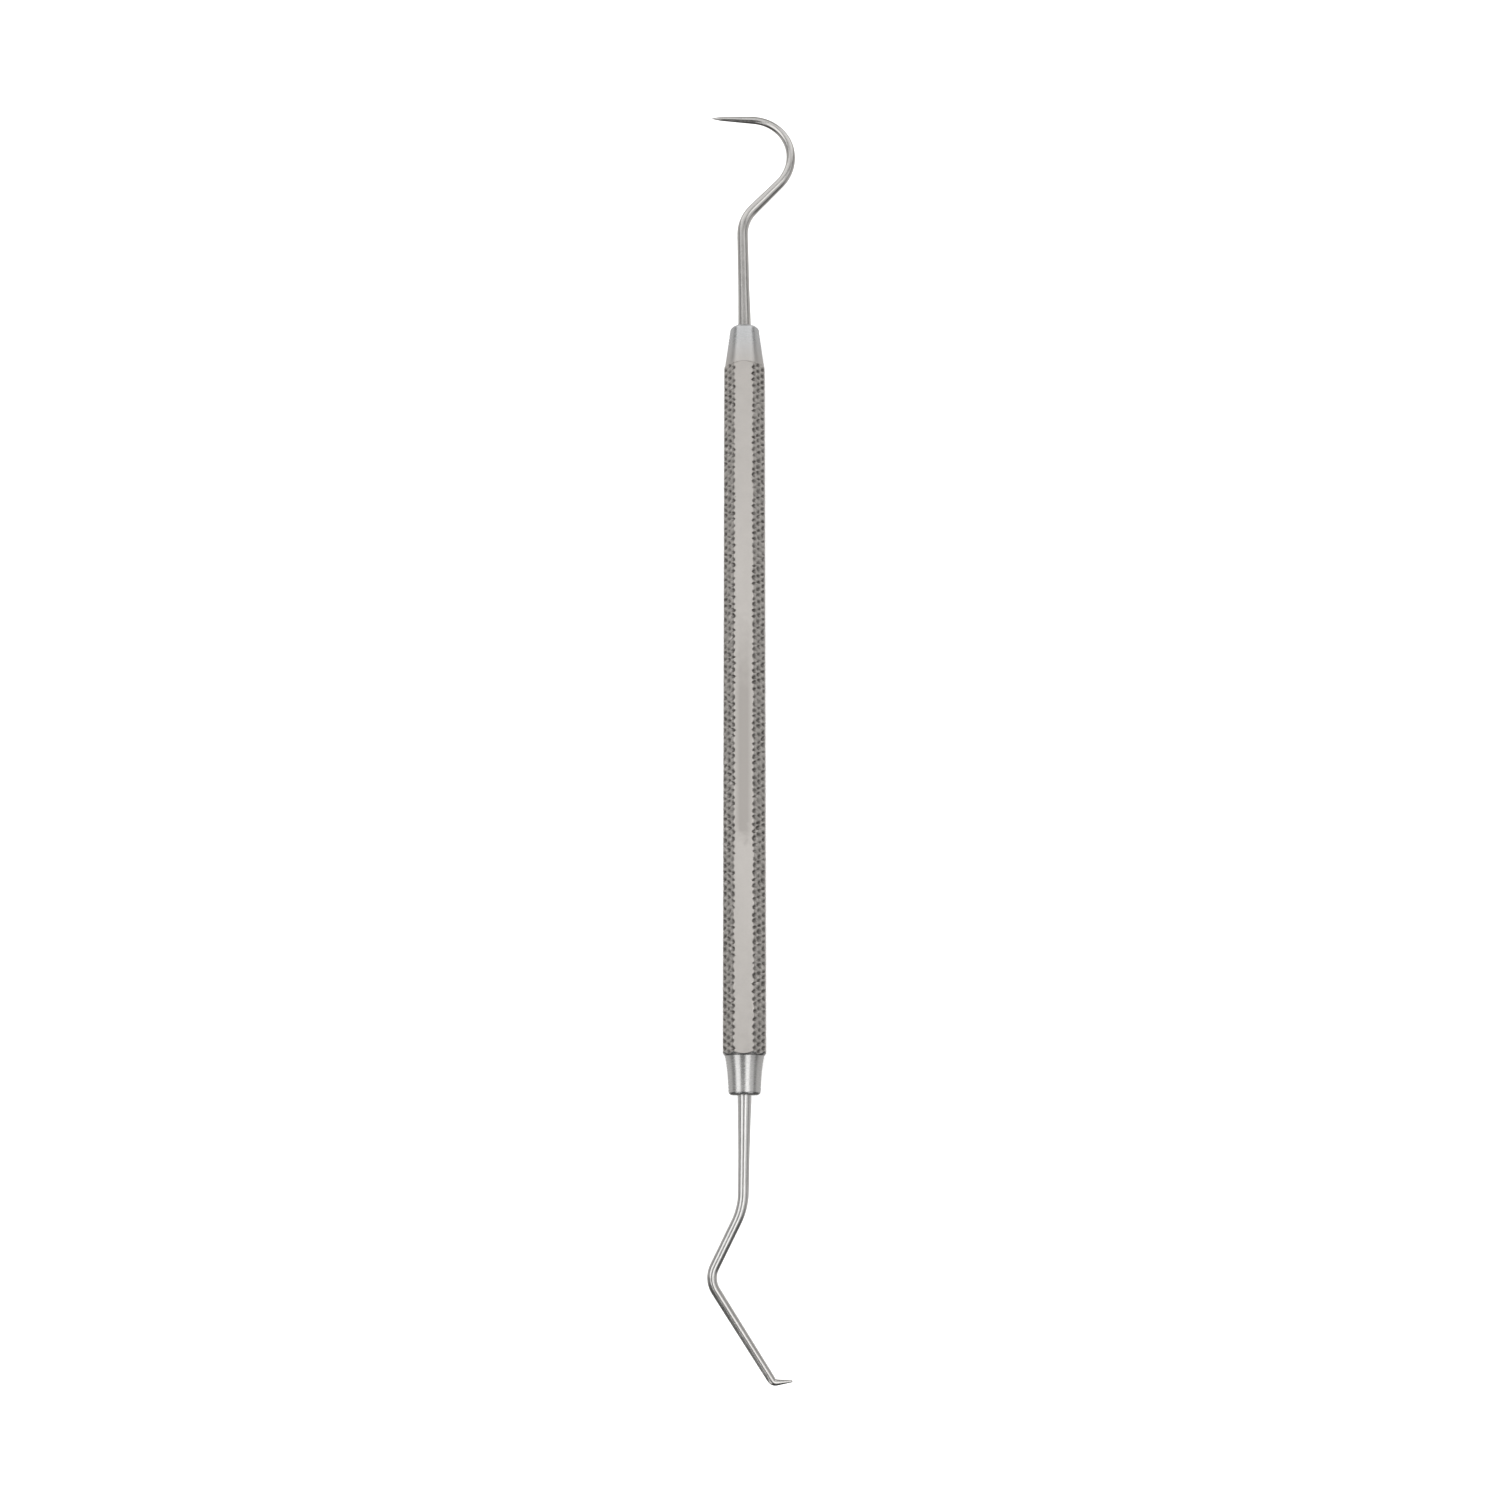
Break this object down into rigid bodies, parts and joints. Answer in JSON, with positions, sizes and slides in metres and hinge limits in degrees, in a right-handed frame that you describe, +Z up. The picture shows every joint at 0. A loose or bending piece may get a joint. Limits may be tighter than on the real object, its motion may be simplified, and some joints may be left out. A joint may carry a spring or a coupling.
{
  "type": "double-ended dental hand instrument",
  "caption": "Slim octagonal knurled steel handle with a hooked probing end and a short right-angle probing end, for feeling and scraping tooth surfaces by hand.",
  "frame": {"origin": "middle of the handle's resting flat, straight below the handle's axis at half its length", "axes": "+Y along the handle towards the hooked end, +X towards the side that the hook bows to, +Z up off the surface that it lies on"},
  "size_m": [0.0119, 0.173, 0.0055],
  "materials": {
    "handle_steel": "satin with crisp diamond knurling on alternate faces",
    "working_end_steel": "polished",
    "silver_braze": "satin filler metal"
  },
  "bodies": {
    "root": {"handle": "handle_steel", "hook_working_end": "working_end_steel", "right_angle_working_end": "working_end_steel", "hook_end_braze": "silver_braze", "right_angle_end_braze": "silver_braze"}
  },
  "joints": []
}
